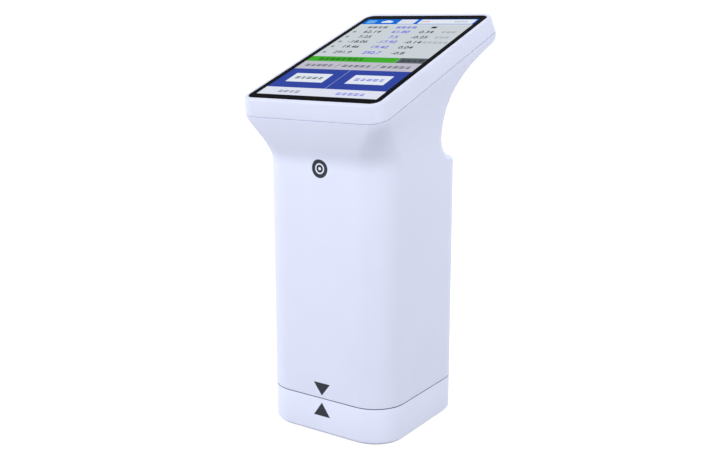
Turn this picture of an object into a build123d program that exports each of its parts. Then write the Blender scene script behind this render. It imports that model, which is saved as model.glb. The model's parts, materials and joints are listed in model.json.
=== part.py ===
from build123d import *
import os
from math import atan2, cos, pi, radians, sin, sqrt, tan

# Upright colour meter: a column that stands on its calibration cap and carries a tilted screen.
# Frame: origin at the middle of the foot, X to the right, Y to the back, Z up, millimetres.

# Column
column_width = 52.8
column_depth = 53.2
column_corner = 12.0
wall = 2.4
flare_start = 93.6

# Calibration cap under the column
seam_z = 13.66
seam_gap = 0.3
cap_bottom = 0.4
cap_wall = 2.1
cap_floor = 2.0
cap_edge = 1.0
foot_inset = 3.5
foot_recess = 0.8
support_top = 6.0
support_width = 12.0
support_in = 4.5
magnet_size = 5.0
magnet_height = 2.0
magnet_skin = 0.5
tile_radius = 14.0
tile_height = 2.2
cushion_height = 0.8
retainer_outer = 16.2
retainer_lip = 12.0
lip_height = 0.3
fit = 0.1
screw_fit = 0.03

# Head and screen
screen_tilt = 19.83
glass_y = 5.14
glass_z = 131.88
head_corner = 5.9
head_seam_depth = 5.9
head_seam_gap = 0.2
rim_edge = 0.5
shell_draft = 10.0
rim_side = 2.4
rim_end = 2.9
glass_corner = 3.0
glass_height = 1.1
glass_shift = 0.17
tape_height = 0.15
screen_width = 48.96
screen_length = 73.44
border_side = 2.12
border_end = 3.48
panel_border = 0.8
panel_height = 0.9
tray_border = 0.4
tray_depth = 2.4
upper_wall = 2.35
ledge_height = 1.5
tongue_height = 1.6
carrier_height = 1.6
hook_width = 6.0
hook_reach = 4.6
hook_thickness = 0.95
hook_barb = 0.7
hook_barb_height = 1.2
hook_pitch = 14.0
hook_middle = -8.0

# Side profile of the neck
neck_y = 17.1
neck_z = 105.1
scoop_radius = 9.2
lip_radius = 1.6
sweep_rise = 12.1
sweep_run = 30.0
underside_tilt = 22.9
underside_flat = 5.5
back_wall_height = 2.8
back_edge_radius = 2.4
inner_edge_radius = 0.3
front_rise = 6.1
front_run = 15.0
width_ease = 2.25
corner_ease = 1.3
outer_count = 29
inner_count = 10

# Measuring head
base_insert_top = 16.0
base_floor = 2.0
base_wall = 2.0
base_edge = 0.6
base_screw_x = 19.0
base_screw_y = 19.2
base_boss_radius = 3.2
base_boss_height = 14.0
screw_radius = 1.25
screw_head_radius = 2.3
screw_head_height = 1.6
screw_depth = 9.0
aperture_radius = 4.0
aperture_port_radius = 5.0
aperture_proud = 0.3
ring_flange_radius = 10.0
ring_flange_height = 1.1
ring_neck_radius = 8.0
sphere_inner = 13.5
sphere_shell = 2.0
ball_sides = 16
sphere_flange_radius = 18.5
sphere_flange = 1.6
sphere_tab_x = 9.4
sphere_tab_y = 17.7
sphere_tab = 5.4
sphere_post = 4.6
platform_radius = 12.5
platform_top = 17.0
led_board_radius = 13.0
led_count = 5
led_orbit = 9.3
led_port_radius = 2.1
led_size = 2.8
led_height = 0.8
board_height = 1.2
sensor_angle = 8.0
tube_radius = 3.4
tube_bore = 2.4
tube_start = 31.5
tube_end = 51.0
tube_head_radius = 6.2
tube_head = 4.0
lens_place = 41.0
lens_radius = 2.35
lens_edge = 0.8
lens_crown = 0.5
sensor_board_size = 14.0
sensor_chip_size = 4.5
sensor_chip_height = 1.0

# Battery, its tray and the boards in the column
battery_width = 34.0
battery_depth = 10.0
battery_height = 49.0
battery_front_gap = 1.6
battery_bottom = 44.0
battery_corner = 1.5
tray_plate = 1.4
tray_lip = 1.2
tray_shelf = 1.3
tray_top_margin = 2.0
rail_depth = 2.6
rail_width = 1.2
control_width = 34.0
control_length = 34.0
control_bottom = 60.0
control_standoff = 3.0
standoff = 4.0
control_screw_x = 14.0
control_screw_margin = 7.0
led_lead_x = -10.0
sensor_lead_x = 7.0
battery_lead_x = -12.0
lead_pitch = 1.6
charger_size = 5.0
charger_x = 6.0
shank_sides = 6
chip_height = 1.0
usb_z = 50.2
usb_width = 8.94
usb_height = 3.2
usb_length = 9.0
usb_skin = 0.3
usb_recess = 0.8
usb_clearance = 0.25
usb_tongue_width = 6.7
usb_tongue_height = 0.7
usb_tongue_length = 5.5
usb_corner = 1.4
usb_back = 1.5
usb_board_width = 18.0
usb_board_depth = 12.5
bracket_width = 4.0
bracket_height = 5.0

# Keys
key_clearance = 0.3
measuring_key_width = 15.0
measuring_key_bottom = 99.0
measuring_key_top = 112.0
measuring_key_proud = 1.3
measuring_key_travel = 1.0
key_corner = 2.5
key_edge = 0.5
key_flange_margin = 1.5
key_flange = 1.2
measuring_board_y = 6.0
measuring_board_width = 32.0
measuring_board_height = 12.0
measuring_boss_x = 13.0
key_post = 4.6
switch_size = 6.0
switch_height = 3.5
plunger_radius = 1.6
plunger_clearance = 0.1
plunger_sunk = 1.8
switch_gap = 1.9
measuring_stem_radius = 3.0
power_key_z = 80.0
power_key_width = 6.0
power_key_length = 14.0
power_key_proud = 0.5
power_key_travel = 0.4
power_flange = 1.0
power_stem_radius = 2.0
power_board_x = 16.4
power_board_width = 12.0
power_board_length = 28.0
power_switch_height = 2.0
power_switch_gap = 1.0
power_plunger_radius = 1.2
power_plunger_sunk = 0.9

# Main board in the head
main_width = 46.0
main_front = 34.0
main_back = 18.0
main_standoff = 2.0
shield_width = 20.0
shield_length = 22.0
shield_height = 1.8
shield_skin = 0.2
radio_width = 15.0
radio_length = 11.0
radio_height = 1.8
ribbon_thickness = 0.3
display_ribbon_width = 16.0
board_ribbon_width = 12.0
connector_height = 1.6
lead_radius = 0.6
lead_bend = 3.0
lead_rise = 6.0
ribbon_slot_gap = 0.5
ribbon_end_gap = 3.0
connector_border = 1.0
connector_v = 12.0
shield_v = -10.0
radio_x = 10.0
radio_v = 27.5
radio_can_length = 6.0
processor_size = 10.0
processor_x = 3.5
processor_v = 6.0
memory_size = 8.0
memory_v = 16.5
ribbon_turn_gap = 4.0
post_margin = 3.0
glass_bevel = 0.2

# The display sets the glass, and the glass sets the head
glass_width = screen_width + 2 * border_side
glass_length = screen_length + 2 * border_end
head_width = glass_width + 2 * rim_side
head_length = glass_length + 2 * rim_end

tilt = radians(screen_tilt)
across = Vector(1, 0, 0)
head_up = Vector(0, -sin(tilt), cos(tilt))
slope = Vector(0, cos(tilt), sin(tilt))
glass_centre = Vector(0, glass_y, glass_z)
head_plane = Plane(origin=glass_centre, x_dir=across, z_dir=head_up)
seam_centre = glass_centre - head_up * head_seam_depth
seam_front = seam_centre - slope * (head_length / 2)
seam_back = seam_centre + slope * (head_length / 2)

half_width = column_width / 2
half_depth = column_depth / 2
column_bottom = seam_z + seam_gap / 2
cap_top = seam_z - seam_gap / 2
cap_floor_top = cap_bottom + cap_floor
insert_inset = wall + fit
side_x = half_width - wall
back_y = half_depth - wall

os.makedirs("parts", exist_ok=True)


# Each finished piece is named after its node and written out
def keep(piece, name):
    piece.part.label = name
    export_step(piece.part, "parts/" + name + ".step")


# A sketch of the column's rounded square, drawn in by an inset
def column_outline(inset):
    with BuildSketch(mode=Mode.PRIVATE) as outline:
        RectangleRounded(
            column_width - 2 * inset, column_depth - 2 * inset, column_corner - inset
        )
    return outline.sketch


# A sketch of the head's rounded oblong, drawn in by an inset
def head_outline(inset):
    with BuildSketch(mode=Mode.PRIVATE) as outline:
        RectangleRounded(
            head_width - 2 * inset,
            head_length - 2 * inset,
            max(head_corner - inset, 1.0),
        )
    return outline.sketch


# Front of the side profile: straight up the column, then an S-curve that ends along the head's wall
def front_guide(inset):
    foot = Vector(0, inset - half_depth, flare_start)
    start = foot + Vector(0, 0, 1)
    top = seam_front + slope * inset
    with BuildLine() as guide:
        Line(foot, start)
        Bezier(start, start + Vector(0, 0, front_rise), top - head_up * front_run, top)
    return guide.wires()[0]


# Back of the side profile: a lip, the finger scoop, the long sweep under the head and its rounded end
def back_guide(inset):
    rear = half_depth - inset
    neck = Vector(0, neck_y - inset, neck_z)
    run = rear - neck.Y
    if inset:
        low = flare_start
        radius = (run**2 + (neck_z - low) ** 2) / (2 * run)
    else:
        radius = scoop_radius
        low = neck_z - sqrt(radius**2 - (radius - run) ** 2)
    bend = atan2(neck_z - low, radius - run) / 2
    middle = neck + Vector(0, radius * (1 - cos(bend)), -radius * sin(bend))
    under = Vector(0, cos(radians(underside_tilt)), sin(radians(underside_tilt)))
    under_up = Vector(0, -under.Z, under.Y)
    top = seam_back - slope * inset
    base = seam_back - head_up * back_wall_height + under_up * inset
    reach = (top - base).cross(under).X / head_up.cross(under).X
    heel = top - head_up * reach
    sweep_end = heel - under * underside_flat
    with BuildLine() as guide:
        if not inset:
            Line((0, rear, flare_start), (0, rear, low))
        ThreePointArc((0, rear, low), middle, neck)
        Bezier(neck, neck + Vector(0, 0, sweep_rise), sweep_end - under * sweep_run, sweep_end)
        Line(sweep_end, heel)
        Line(heel, top)
        heels = [v for v in guide.vertices() if (Vector(v) - heel).length < fit]
        fillet(heels, inner_edge_radius if inset else back_edge_radius)
        if not inset:
            lip = Vector(0, rear, low)
            lips = [v for v in guide.vertices() if (Vector(v) - lip).length < fit]
            fillet(lips, lip_radius)
    return guide.wires()[0]


# The section planes fan out from the line where the flare's foot plane meets the head's seam plane
fan_y = seam_front.Y - (seam_front.Z - flare_start) / tan(tilt)


def fan_angle(point):
    return atan2(point.Z - flare_start, point.Y - fan_y)


def meet_fan(guide, angle):
    low, high = 0.0, 1.0
    while high - low > 1e-9:
        middle = (low + high) / 2
        if fan_angle(guide.position_at(middle)) < angle:
            low = middle
        else:
            high = middle
    return guide.position_at(low)


# Sections gather towards both ends of the outer form, where its back turns sharply
def spread(share, inset):
    return share if inset else share - 0.7 * sin(2 * pi * share) / (2 * pi)


# A blend that starts and ends softly
def ease(share):
    return share * share * (3 - 2 * share)


# Neck and lower head: rounded oblongs on the fan of planes, from the column's outline to the head's
def flared_form(inset, sections):
    front = front_guide(inset)
    back = back_guide(inset)
    with BuildPart() as form:
        for step in range(sections):
            rear = back.position_at(spread(step / (sections - 1), inset))
            angle = fan_angle(rear)
            lead = meet_fan(front, angle)
            turned = min(angle / tilt, 1)
            width = column_width + (head_width - column_width) * ease(turned**width_ease) - 2 * inset
            corner = column_corner + (head_corner - column_corner) * ease(turned**corner_ease) - inset
            lean = atan2(rear.Z - lead.Z, rear.Y - lead.Y)
            section = Plane(
                origin=(lead + rear) / 2, x_dir=across, z_dir=(0, -sin(lean), cos(lean))
            )
            with BuildSketch(section):
                RectangleRounded(width, (rear - lead).length, corner)
        loft(ruled=True)
    return form.part


outer_flare = flared_form(0, outer_count)
inner_flare = flared_form(wall, inner_count)

# Housing: column, neck and lower head in one moulding, open at the head's seam and at the foot
rail_front = battery_front_gap + battery_depth + fit - back_y
rail_back = rail_front + tray_plate
tray_bottom = battery_bottom - tray_shelf
tongue_inset = wall / 2 + fit
rabbet_depth = head_seam_depth + tongue_height + fit
lower_head_top = -(head_seam_depth + head_seam_gap / 2)
hook_face = head_width / 2 - upper_wall
hook_end = head_seam_depth + hook_reach
hook_places = [(0, hook_middle + step * hook_pitch) for step in (-1, 0, 1)]
corner_places = [
    (x, y) for x in (-base_screw_x, base_screw_x) for y in (-base_screw_y, base_screw_y)
]
key_middle_z = (measuring_key_bottom + measuring_key_top) / 2
measuring_boss_places = [(x, key_middle_z) for x in (-measuring_boss_x, measuring_boss_x)]
measuring_boss_foot = measuring_board_y + board_height
power_boss_z = power_board_length / 2 - standoff / 2
power_boss_places = [(0, power_key_z - power_boss_z), (0, power_key_z + power_boss_z)]
bracket_top = usb_z - usb_height / 2 - board_height
bracket_x = usb_board_width / 2 - bracket_width / 2
control_low = control_bottom + control_screw_margin
control_high = control_bottom + control_length - control_screw_margin
control_places = [
    (x, z) for x in (-control_screw_x, control_screw_x) for z in (control_low, control_high)
]
left_wall = Plane(origin=(-side_x, 0, 0), x_dir=(0, -1, 0), z_dir=(-1, 0, 0))

with BuildPart() as main_housing:
    with BuildSketch(Plane.XY.offset(column_bottom)):
        add(column_outline(0))
    extrude(amount=flare_start - column_bottom)
    add(outer_flare)
    with BuildSketch(Plane.XY.offset(column_bottom)):
        add(column_outline(wall))
    extrude(amount=flare_start - column_bottom, mode=Mode.SUBTRACT)
    add(inner_flare, mode=Mode.SUBTRACT)
    with BuildSketch(head_plane.offset(lower_head_top)):
        Rectangle(2 * head_width, 2 * head_length)
    extrude(amount=wall, mode=Mode.SUBTRACT)
    with BuildSketch(head_plane.offset(-rabbet_depth)):
        add(head_outline(wall / 2))
    extrude(amount=rabbet_depth + lower_head_top, mode=Mode.SUBTRACT)
    # Catches for the upper shell's hooks
    for side in (-1, 1):
        with BuildSketch(head_plane.offset(-hook_end - 2 * fit)):
            with Locations(*[(side * hook_face, v) for x, v in hook_places]):
                Rectangle(2 * (hook_barb + 2 * fit), hook_width + 4 * fit)
        extrude(amount=hook_barb_height + 4 * fit, mode=Mode.SUBTRACT)
        with BuildSketch(head_plane.offset(-hook_end - 2 * fit)):
            with Locations(*[(side * (hook_face - hook_thickness), v) for x, v in hook_places]):
                Rectangle(2 * (hook_thickness + 2 * fit), hook_width + 4 * fit)
        extrude(amount=hook_reach, mode=Mode.SUBTRACT)
    # Screw bosses for the measuring base
    with BuildSketch(Plane.XY.offset(base_insert_top)):
        with Locations(*corner_places):
            Circle(base_boss_radius)
        add(column_outline(wall / 2), mode=Mode.INTERSECT)
    extrude(amount=base_boss_height)
    with BuildSketch(Plane.XY.offset(base_insert_top)):
        with Locations(*corner_places):
            RegularPolygon(screw_radius + screw_fit, shank_sides)
    extrude(amount=screw_depth + fit, mode=Mode.SUBTRACT)
    # Guides in the side walls that hold the battery tray
    for side in (-1, 1):
        with BuildSketch(Plane.XY.offset(tray_bottom - 2 * rail_width)):
            with Locations(
                (side * side_x, rail_front - fit - rail_width / 2),
                (side * side_x, rail_back + fit + rail_width / 2),
            ):
                Rectangle(2 * rail_depth, rail_width)
            add(column_outline(wall / 2), mode=Mode.INTERSECT)
        extrude(amount=flare_start - tray_bottom)
        with BuildSketch(Plane.XY.offset(tray_bottom - 2 * rail_width)):
            with Locations((side * side_x, (rail_front + rail_back) / 2)):
                Rectangle(2 * rail_depth, tray_plate + 2 * fit + rail_width)
            add(column_outline(wall / 2), mode=Mode.INTERSECT)
        extrude(amount=2 * rail_width)
    # Bosses and brackets for the key boards and the socket board
    with BuildSketch(Plane.XZ.offset(-measuring_boss_foot)):
        with Locations(*measuring_boss_places):
            Rectangle(key_post, key_post)
    extrude(amount=measuring_boss_foot + wall / 2 - neck_y)
    with BuildSketch(left_wall.offset(power_board_x + board_height - side_x)):
        with Locations(*power_boss_places):
            Rectangle(key_post, key_post)
    extrude(amount=side_x + wall / 2 - power_board_x - board_height)
    with BuildSketch(Plane.XY.offset(bracket_top - bracket_height)):
        with Locations((-bracket_x, back_y), (bracket_x, back_y)):
            Rectangle(bracket_width, 2 * usb_board_depth)
        add(column_outline(wall / 2), mode=Mode.INTERSECT)
    extrude(amount=bracket_height)
    # Openings in the walls: measuring key, power key and charging socket
    with BuildSketch(Plane.XZ.offset(-neck_y + wall + key_flange)):
        with Locations((0, key_middle_z)):
            RectangleRounded(
                measuring_key_width + 2 * key_clearance,
                measuring_key_top - measuring_key_bottom + 2 * key_clearance,
                key_corner + key_clearance,
            )
    extrude(amount=-half_depth, mode=Mode.SUBTRACT)
    with BuildSketch(left_wall.offset(-key_flange)):
        with Locations((0, power_key_z)):
            RectangleRounded(
                power_key_width + 2 * key_clearance,
                power_key_length + 2 * key_clearance,
                key_corner + key_clearance,
            )
    extrude(amount=2 * wall, mode=Mode.SUBTRACT)
    with BuildSketch(Plane.XZ.offset(-back_y + fit)):
        with Locations((0, usb_z)):
            SlotOverall(usb_width + 2 * usb_clearance, usb_height + 2 * usb_clearance)
    extrude(amount=-2 * wall, mode=Mode.SUBTRACT)
keep(main_housing, "main_housing")


# A plane at a depth that looks to the back, with its own X to the left
def rear_facing(depth):
    return Plane(origin=(0, depth, 0), x_dir=(-1, 0, 0), z_dir=(0, 1, 0))


# Calibration cap: a shallow tray whose wall is flush with the column above it
support_places = [
    (side_x - support_in, 0),
    (support_in - side_x, 0),
    (0, back_y - support_in),
    (0, support_in - back_y),
]
with BuildPart() as calibration_cap:
    with BuildSketch(Plane.XY.offset(cap_bottom)):
        add(column_outline(0))
    extrude(amount=cap_top - cap_bottom)
    chamfer(calibration_cap.faces().sort_by(Axis.Z)[0].edges(), cap_edge)
    with BuildSketch(Plane.XY.offset(cap_floor_top)):
        add(column_outline(cap_wall))
    extrude(amount=cap_top - cap_floor_top, mode=Mode.SUBTRACT)
    with BuildSketch(Plane.XY.offset(cap_floor_top)):
        with Locations(*support_places):
            Rectangle(support_width, support_width)
        add(column_outline(cap_wall / 2), mode=Mode.INTERSECT)
        Circle(retainer_outer + fit, mode=Mode.SUBTRACT)
    extrude(amount=support_top - cap_floor_top)
    with BuildSketch(Plane.XY.offset(cap_bottom)):
        add(column_outline(foot_inset - fit))
    extrude(amount=foot_recess, mode=Mode.SUBTRACT)
    with BuildSketch(Plane.XY.offset(cap_bottom)):
        with Locations(*support_places):
            Rectangle(magnet_size + 2 * fit, magnet_size + 2 * fit)
    extrude(amount=support_top - magnet_skin - cap_bottom, mode=Mode.SUBTRACT)
keep(calibration_cap, "calibration_cap")

with BuildPart() as foot_pad:
    with BuildSketch():
        add(column_outline(foot_inset))
    extrude(amount=cap_bottom + foot_recess)
keep(foot_pad, "foot_pad")

tile_bottom = cap_floor_top + cushion_height
tile_top = tile_bottom + tile_height

with BuildPart() as tile_cushion:
    with BuildSketch(Plane.XY.offset(cap_floor_top)):
        Circle(tile_radius)
    extrude(amount=cushion_height)
keep(tile_cushion, "tile_cushion")

with BuildPart() as white_tile:
    with BuildSketch(Plane.XY.offset(tile_bottom)):
        Circle(tile_radius)
    extrude(amount=tile_height)
keep(white_tile, "white_tile")

with BuildPart() as tile_retainer:
    with BuildSketch(Plane.XY.offset(cap_floor_top)):
        Circle(retainer_outer)
    extrude(amount=tile_top + lip_height - cap_floor_top)
    with BuildSketch(Plane.XY.offset(cap_floor_top)):
        Circle(tile_radius + fit)
    extrude(amount=tile_top - cap_floor_top, mode=Mode.SUBTRACT)
    with BuildSketch(Plane.XY.offset(tile_top)):
        Circle(retainer_lip)
    extrude(amount=lip_height, mode=Mode.SUBTRACT)
keep(tile_retainer, "tile_retainer")

with BuildPart() as cap_magnets:
    with BuildSketch(Plane.XY.offset(support_top - magnet_skin - magnet_height)):
        with Locations(*support_places):
            Rectangle(magnet_size, magnet_size)
    extrude(amount=magnet_height)
keep(cap_magnets, "cap_magnets")

# Measuring base: a dark tray that closes the column's foot and slides into the cap
base_floor_top = support_top + base_floor
aperture_face = support_top - aperture_proud
sphere_z = base_floor_top + sphere_inner
sphere_seat = sphere_z - sphere_flange
tab_places = [(x, y) for x in (-sphere_tab_x, sphere_tab_x) for y in (-sphere_tab_y, sphere_tab_y)]
with BuildPart() as measuring_base:
    with BuildSketch(Plane.XY.offset(support_top)):
        add(column_outline(insert_inset))
    extrude(amount=base_insert_top - support_top)
    chamfer(measuring_base.faces().sort_by(Axis.Z)[0].edges(), base_edge)
    with BuildSketch(Plane.XY.offset(base_floor_top)):
        add(column_outline(insert_inset + base_wall))
        with Locations(*corner_places):
            Circle(base_boss_radius, mode=Mode.SUBTRACT)
    extrude(amount=base_insert_top - base_floor_top, mode=Mode.SUBTRACT)
    with BuildSketch(Plane.XY.offset(base_floor_top)):
        with Locations(*tab_places):
            Rectangle(sphere_post, sphere_post)
    extrude(amount=sphere_seat - base_floor_top)
    with BuildSketch(Plane.XY.offset(base_floor_top)):
        with Locations(*support_places):
            Rectangle(magnet_size + base_wall, magnet_size + base_wall)
    extrude(amount=magnet_skin + magnet_height - base_floor)
    with BuildSketch(Plane.XY.offset(support_top + magnet_skin)):
        with Locations(*support_places):
            Rectangle(magnet_size + 2 * fit, magnet_size + 2 * fit)
    extrude(amount=magnet_height, mode=Mode.SUBTRACT)
    with BuildSketch(Plane.XY.offset(support_top)):
        with Locations(*corner_places):
            Circle(screw_head_radius + fit)
    extrude(amount=screw_head_height + fit, mode=Mode.SUBTRACT)
    with BuildSketch(Plane.XY.offset(support_top)):
        with Locations(*corner_places):
            Circle(screw_radius + fit)
        Circle(ring_neck_radius + fit)
    extrude(amount=base_insert_top - support_top, mode=Mode.SUBTRACT)
    with BuildSketch(Plane.XY.offset(support_top)):
        Circle(ring_flange_radius + fit)
    extrude(amount=ring_flange_height - aperture_proud, mode=Mode.SUBTRACT)
keep(measuring_base, "measuring_base")

with BuildPart() as base_magnets:
    with BuildSketch(Plane.XY.offset(support_top + magnet_skin)):
        with Locations(*support_places):
            Rectangle(magnet_size, magnet_size)
    extrude(amount=magnet_height)
keep(base_magnets, "base_magnets")

base_screw_top = base_insert_top + screw_depth
screw_head_top = support_top + fit + screw_head_height
with BuildPart() as base_screws:
    with BuildSketch(Plane.XY.offset(support_top + fit)):
        with Locations(*corner_places):
            Circle(screw_head_radius)
    extrude(amount=screw_head_height)
    with BuildSketch(Plane.XY.offset(screw_head_top)):
        with Locations(*corner_places):
            RegularPolygon(screw_radius, shank_sides)
    extrude(amount=base_screw_top - screw_head_top)
    with BuildSketch(Plane.XY.offset(support_top + fit)):
        with Locations(*corner_places):
            RegularPolygon(screw_head_radius / 2, shank_sides)
    extrude(amount=screw_head_height / 2, mode=Mode.SUBTRACT)
keep(base_screws, "base_screws")

# Aperture ring: its port widens into the sphere above it
with BuildPart() as aperture_ring:
    with BuildSketch(Plane.XZ):
        with BuildLine():
            Polyline(
                (aperture_radius, aperture_face),
                (ring_flange_radius, aperture_face),
                (ring_flange_radius, aperture_face + ring_flange_height),
                (ring_neck_radius, aperture_face + ring_flange_height),
                (ring_neck_radius, base_floor_top),
                (aperture_port_radius, base_floor_top),
                close=True,
            )
        make_face()
    revolve(axis=Axis.Z)
keep(aperture_ring, "aperture_ring")

# Integrating sphere: two halves that meet at flanges, the lower one standing on the base's floor.
# The hidden ball is turned from short chords.
sphere_outer = sphere_inner + sphere_shell
flange_size = (sphere_flange_radius, sphere_flange)
from_axis = (Align.MIN, Align.MIN)
with BuildPart() as sphere_lower_half:
    with BuildSketch(Plane.XZ):
        with Locations((0, base_floor_top)):
            Rectangle(sphere_outer, sphere_z - base_floor_top, align=from_axis)
        with Locations((0, sphere_seat)):
            Rectangle(*flange_size, align=from_axis)
        with Locations((0, sphere_z)):
            RegularPolygon(sphere_inner, ball_sides, mode=Mode.SUBTRACT)
        with Locations((0, base_floor_top)):
            Rectangle(aperture_port_radius, sphere_inner, align=from_axis, mode=Mode.SUBTRACT)
    revolve(axis=Axis.Z)
    with BuildSketch(Plane.XY.offset(sphere_seat)):
        with Locations(*tab_places):
            Rectangle(sphere_tab, sphere_tab)
    extrude(amount=sphere_flange)
keep(sphere_lower_half, "sphere_lower_half")

platform_z = sphere_z + platform_top
sensor_lean = radians(sensor_angle)
sensor_up = Vector(sin(sensor_lean), 0, cos(sensor_lean))
sensor_plane = Plane(
    origin=(0, 0, aperture_face), x_dir=(cos(sensor_lean), 0, -sin(sensor_lean)), z_dir=sensor_up
)
sensor_x = (platform_z + board_height / 2 - aperture_face) * tan(sensor_lean)
with BuildPart() as sphere_upper_half:
    with BuildSketch(Plane.XZ):
        with Locations((0, sphere_z)):
            RegularPolygon(sphere_outer, ball_sides)
            Rectangle(*flange_size, align=from_axis)
        with Locations((0, sphere_z + sphere_inner / 2)):
            Rectangle(platform_radius, platform_top - sphere_inner / 2, align=from_axis)
        with Locations((0, sphere_z)):
            RegularPolygon(sphere_inner, ball_sides, mode=Mode.SUBTRACT)
            Rectangle(sphere_flange_radius, platform_top, align=from_axis, mode=Mode.INTERSECT)
    revolve(axis=Axis.Z)
    with BuildSketch(Plane.XY.offset(sphere_z)):
        with Locations(*tab_places):
            Rectangle(sphere_tab, sphere_tab)
    extrude(amount=sphere_flange)
    with BuildSketch(Plane.XY.offset(platform_z)):
        with PolarLocations(led_orbit, led_count, 60, 240, endpoint=True):
            Circle(led_port_radius)
    extrude(amount=-(platform_top - sphere_inner / 2), mode=Mode.SUBTRACT)
    with BuildSketch(sensor_plane.offset(sphere_z)):
        Circle(tube_radius + fit)
    extrude(amount=sphere_outer + platform_top, mode=Mode.SUBTRACT)
keep(sphere_upper_half, "sphere_upper_half")

with BuildPart() as led_board:
    with BuildSketch(Plane.XY.offset(platform_z)):
        Circle(led_board_radius)
        with Locations((sensor_x, 0)):
            Circle(tube_radius + 5 * fit, mode=Mode.SUBTRACT)
    extrude(amount=board_height)
keep(led_board, "led_board")

with BuildPart() as light_leds:
    with BuildSketch(Plane.XY.offset(platform_z)):
        with PolarLocations(led_orbit, led_count, 60, 240, endpoint=True):
            Rectangle(led_size, led_size)
    extrude(amount=-led_height)
keep(light_leds, "light_leds")

tube_neck = tube_end - tube_head
lens_curve = (lens_radius**2 + lens_crown**2) / (2 * lens_crown)
with BuildPart() as sensor_tube:
    with BuildSketch(sensor_plane.offset(tube_start)):
        Circle(tube_radius)
    extrude(amount=tube_neck - tube_start)
    with BuildSketch(sensor_plane.offset(tube_neck)):
        Circle(tube_head_radius)
    extrude(amount=tube_head)
    with BuildSketch(sensor_plane.offset(tube_start)):
        Circle(tube_bore)
    extrude(amount=tube_end - tube_start, mode=Mode.SUBTRACT)
    with BuildSketch(sensor_plane.offset(tube_end)):
        Circle(sensor_chip_size * 0.8)
    extrude(amount=-tube_head / 2, mode=Mode.SUBTRACT)
keep(sensor_tube, "sensor_tube")

lens_plane = Plane(
    origin=sensor_plane.origin + sensor_up * lens_place,
    x_dir=sensor_plane.x_dir,
    z_dir=(0, -1, 0),
)
with BuildPart() as sensor_lens:
    with BuildSketch(lens_plane):
        with BuildLine():
            Line((0, 0), (0, lens_edge + lens_crown))
            RadiusArc((0, lens_edge + lens_crown), (lens_radius, lens_edge), lens_curve)
            Polyline((lens_radius, lens_edge), (lens_radius, 0), (0, 0))
        make_face()
    revolve(axis=Axis(lens_plane.origin, sensor_up))
keep(sensor_lens, "sensor_lens")

with BuildPart() as sensor_board:
    with BuildSketch(sensor_plane.offset(tube_end)):
        Rectangle(sensor_board_size, sensor_board_size)
    extrude(amount=board_height)
keep(sensor_board, "sensor_board")

with BuildPart() as sensor_chip:
    with BuildSketch(sensor_plane.offset(tube_end)):
        Rectangle(sensor_chip_size, sensor_chip_size)
    extrude(amount=-sensor_chip_height)
keep(sensor_chip, "sensor_chip")

# Battery and the tray that carries it in the side guides
battery_front = battery_front_gap - back_y
tray_y = (rail_front + rail_back) / 2
lip_x = battery_width / 2 + fit + tray_lip / 2
with BuildPart() as battery_pack:
    with BuildSketch(Plane.XY.offset(battery_bottom)):
        with Locations((0, battery_front + battery_depth / 2)):
            RectangleRounded(battery_width, battery_depth, battery_corner)
    extrude(amount=battery_height)
keep(battery_pack, "battery_pack")

with BuildPart() as battery_tray:
    with BuildSketch(Plane.XY.offset(tray_bottom)):
        with Locations((0, tray_y)):
            Rectangle(2 * side_x - 2 * fit, tray_plate)
        with Locations((-lip_x, rail_front), (lip_x, rail_front)):
            Rectangle(tray_lip, battery_depth + fit, align=(Align.CENTER, Align.MAX))
    extrude(amount=tray_shelf + battery_height + tray_top_margin)
    with BuildSketch(Plane.XY.offset(tray_bottom)):
        with Locations((0, rail_front)):
            Rectangle(2 * lip_x, battery_depth + fit, align=(Align.CENTER, Align.MAX))
    extrude(amount=tray_shelf)
    with BuildSketch(Plane.XZ.offset(-rail_back)):
        with Locations(*control_places):
            Rectangle(standoff, standoff)
    extrude(amount=-control_standoff)
keep(battery_tray, "battery_tray")

# Control board behind the tray
control_front = rail_back + control_standoff
control_back = control_front + board_height
control_face = Plane.XZ.offset(-control_back)
control_top = control_bottom + control_length
control_middle = control_bottom + control_length / 2
with BuildPart() as control_board:
    with BuildSketch(Plane.XZ.offset(-control_front)):
        with Locations((0, control_middle)):
            Rectangle(control_width, control_length)
    extrude(amount=-board_height)
keep(control_board, "control_board")

with BuildPart() as control_parts:
    with BuildSketch(control_face):
        with Locations((0, control_top - connector_height)):
            Rectangle(board_ribbon_width + 2 * connector_border, 2 * connector_height)
        with Locations(
            (led_lead_x, control_bottom + connector_height),
            (sensor_lead_x, control_bottom + connector_height),
            (battery_lead_x, control_top - connector_height),
        ):
            Rectangle(4 * lead_pitch, 2 * connector_height)
        with Locations((-charger_x, control_middle), (charger_x, control_middle)):
            Rectangle(charger_size, charger_size)
    extrude(amount=-connector_height)
keep(control_parts, "control_parts")


# Flexible leads: a thin wire, or a flat ribbon drawn as a line in the side view
def wires(route, places, radius, bend, name):
    with BuildPart() as lead:
        for x in places:
            with BuildLine() as path:
                points = [(x, y, z) for y, z in route]
                if len(points) > 2:
                    FilletPolyline(*points, radius=bend)
                else:
                    Line(*points)
            with BuildSketch(Plane(origin=path.line @ 0, z_dir=path.line % 0)):
                RegularPolygon(radius, shank_sides)
            sweep(path=path.line)
    keep(lead, name)


def ribbon(plane, points, width, bend, name):
    with BuildPart() as strip:
        with BuildSketch(plane):
            with BuildLine():
                FilletPolyline(*points, radius=bend)
            trace(line_width=ribbon_thickness)
        extrude(amount=width / 2, both=True)
    keep(strip, name)


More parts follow.
